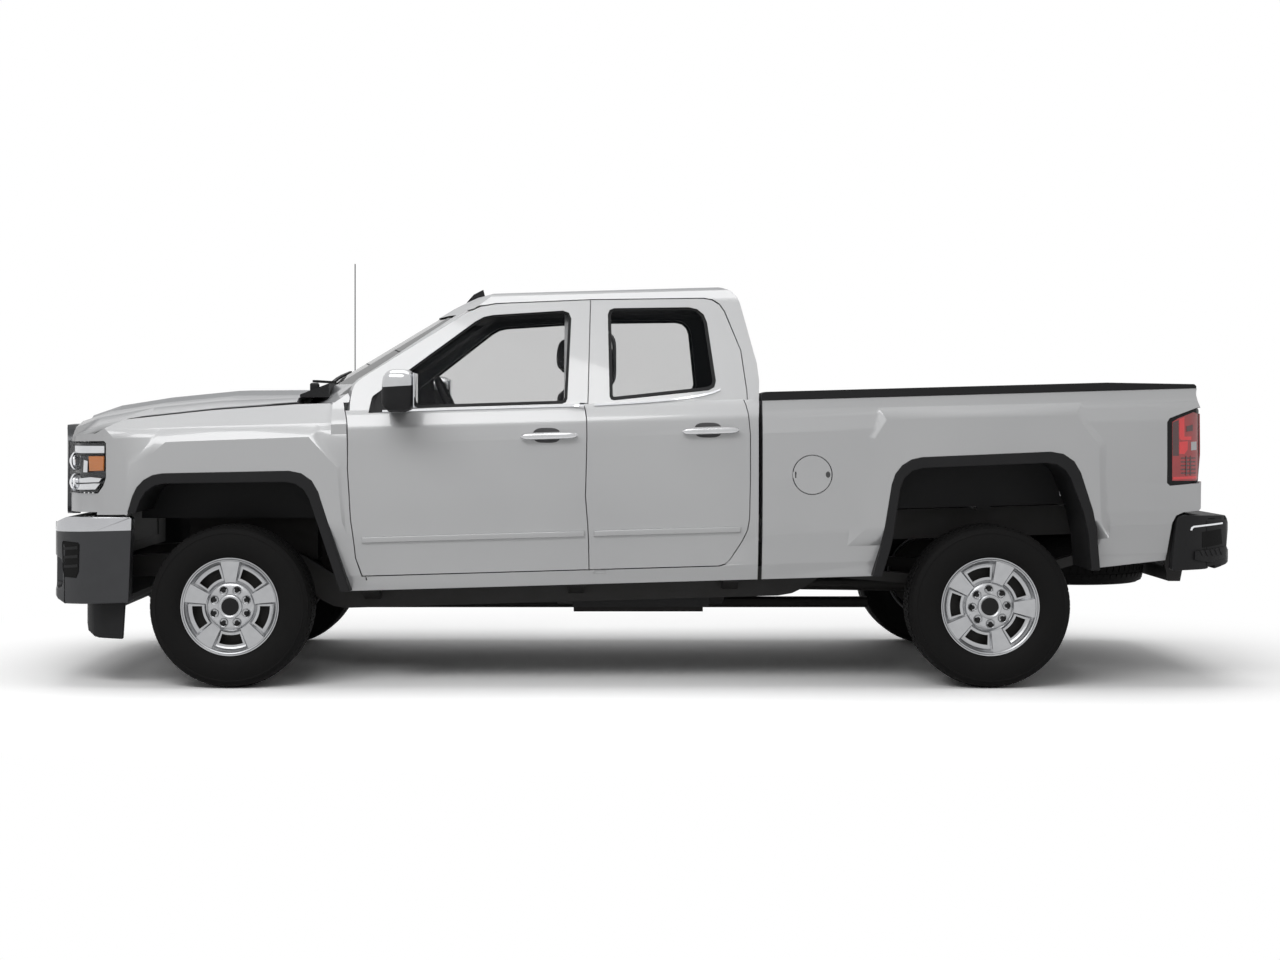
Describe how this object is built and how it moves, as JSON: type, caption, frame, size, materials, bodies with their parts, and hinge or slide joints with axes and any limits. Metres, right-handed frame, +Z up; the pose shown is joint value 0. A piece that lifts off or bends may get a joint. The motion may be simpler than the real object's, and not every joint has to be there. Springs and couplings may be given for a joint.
{
  "type": "pickup truck",
  "caption": "Full-size four-door extended-cab pickup truck with an open cargo bed, steered front wheels, opening doors, hood, tailgate and fuel door.",
  "frame": {"origin": "on the ground, midway along and across the truck", "axes": "-X towards the nose, +X towards the tailgate, -Y to the truck's left side, +Z up"},
  "size_m": [5.8558, 2.5756, 2.179],
  "materials": {
    "body_paint": "clear-coated light metallic",
    "glass": "lightly tinted",
    "chrome": "polished",
    "black_plastic": "fine grain",
    "lamp_lens": "clear moulded",
    "red_lens": "gloss moulded",
    "frame_steel": "black waxed",
    "aluminium": "machined",
    "tyre": "matt",
    "engine_iron": "rough cast",
    "tank_plastic": "plain",
    "exhaust_steel": "dull",
    "trim_plastic": "soft grain",
    "seat_cloth": "woven"
  },
  "bodies": {
    "chassis": {"cab_shell": "body_paint", "fixed_glass": "glass", "front_fenders": "body_paint", "grille": "chrome", "headlamps": "lamp_lens", "front_bumper": "chrome", "air_dam": "black_plastic", "radiator": "aluminium", "wheel_arches": "black_plastic", "cargo_bed": "body_paint", "bed_rail_caps": "black_plastic", "tail_lamps": "red_lens", "rear_bumper": "chrome", "ladder_frame": "frame_steel", "hitch_receiver": "frame_steel", "spare_wheel": "tyre", "front_suspension": "frame_steel", "rear_axle": "frame_steel", "leaf_springs": "frame_steel", "powertrain": "engine_iron", "fuel_tank": "tank_plastic", "exhaust": "exhaust_steel", "dashboard": "trim_plastic", "front_seats": "seat_cloth", "rear_bench": "seat_cloth", "aerials": "black_plastic"},
    "hood": {"hood": "body_paint"},
    "tailgate": {"tailgate": "body_paint"},
    "fuel_door": {"fuel_door": "body_paint"},
    "front_left_door": {"front_door_left": "body_paint", "front_door_glass_left": "glass", "mirror_left": "black_plastic"},
    "front_right_door": {"front_door_right": "body_paint", "front_door_glass_right": "glass", "mirror_right": "black_plastic"},
    "rear_left_door": {"rear_door_left": "body_paint", "rear_door_glass_left": "glass"},
    "rear_right_door": {"rear_door_right": "body_paint", "rear_door_glass_right": "glass"},
    "left_knuckle": {"knuckle_left": "frame_steel"},
    "right_knuckle": {"knuckle_right": "frame_steel"},
    "tie_rods": {"tie_rods": "frame_steel"},
    "front_left_wheel": {"front_tyre_left": "tyre", "front_rim_left": "aluminium"},
    "front_right_wheel": {"front_tyre_right": "tyre", "front_rim_right": "aluminium"},
    "rear_left_wheel": {"rear_tyre_left": "tyre", "rear_rim_left": "aluminium"},
    "rear_right_wheel": {"rear_tyre_right": "tyre", "rear_rim_right": "aluminium"},
    "steering_wheel": {"steering_wheel": "trim_plastic"}
  },
  "joints": [
    {"name": "steer_left", "type": "hinge", "parent": "chassis", "child": "left_knuckle", "pos_m": [-1.97, -0.7, 0.392], "axis": [0, 0, 1], "range_deg": [-32, 32]},
    {"name": "front_left_wheel_spin", "type": "hinge", "parent": "left_knuckle", "child": "front_left_wheel", "pos_m": [-1.97, -0.872, 0.392], "axis": [0, 1, 0], "continuous": true},
    {"name": "rear_left_wheel_spin", "type": "hinge", "parent": "chassis", "child": "rear_left_wheel", "pos_m": [1.693, -0.872, 0.392], "axis": [0, 1, 0], "continuous": true},
    {"name": "front_left_door_hinge", "type": "hinge", "parent": "chassis", "child": "front_left_door", "pos_m": [-1.335, -0.988, 1], "axis": [0, 0, -1], "range_deg": [0, 65]},
    {"name": "rear_left_door_hinge", "type": "hinge", "parent": "chassis", "child": "rear_left_door", "pos_m": [-0.1825, -0.988, 1], "axis": [0, 0, -1], "range_deg": [0, 65]},
    {"name": "steer_right", "type": "hinge", "parent": "chassis", "child": "right_knuckle", "pos_m": [-1.97, 0.7, 0.392], "axis": [0, 0, 1], "range_deg": [-32, 32]},
    {"name": "front_right_wheel_spin", "type": "hinge", "parent": "right_knuckle", "child": "front_right_wheel", "pos_m": [-1.97, 0.872, 0.392], "axis": [0, 1, 0], "continuous": true},
    {"name": "rear_right_wheel_spin", "type": "hinge", "parent": "chassis", "child": "rear_right_wheel", "pos_m": [1.693, 0.872, 0.392], "axis": [0, 1, 0], "continuous": true},
    {"name": "front_right_door_hinge", "type": "hinge", "parent": "chassis", "child": "front_right_door", "pos_m": [-1.335, 0.988, 1], "axis": [0, 0, 1], "range_deg": [0, 65]},
    {"name": "rear_right_door_hinge", "type": "hinge", "parent": "chassis", "child": "rear_right_door", "pos_m": [-0.1825, 0.988, 1], "axis": [0, 0, 1], "range_deg": [0, 65]},
    {"name": "tie_rod_slide", "type": "slide", "parent": "chassis", "child": "tie_rods", "axis": [0, 1, 0], "range_m": [-0.0745, 0.0745]},
    {"name": "steering_wheel_turn", "type": "hinge", "parent": "chassis", "child": "steering_wheel", "pos_m": [-0.94, -0.43, 1.34639], "axis": [0.8988, 0, 0.4384], "range_deg": [-480, 480]},
    {"name": "hood_hinge", "type": "hinge", "parent": "chassis", "child": "hood", "pos_m": [-1.71, 0, 1.38541], "axis": [0, 1, 0], "range_deg": [0, 50]},
    {"name": "tailgate_hinge", "type": "hinge", "parent": "chassis", "child": "tailgate", "pos_m": [2.68, 0, 0.885], "axis": [0, 1, 0], "range_deg": [0, 90]},
    {"name": "fuel_door_hinge", "type": "hinge", "parent": "chassis", "child": "fuel_door", "pos_m": [0.747, -1.003, 1.02889], "axis": [0, 0, -1], "range_deg": [0, 60]}
  ],
  "couplings": [
    {"joint": "steer_right", "follows": "steer_left", "ratio": 1},
    {"joint": "tie_rod_slide", "follows": "steer_left", "m_per_rad": 0.133},
    {"joint": "steering_wheel_turn", "follows": "steer_left", "ratio": 15}
  ]
}
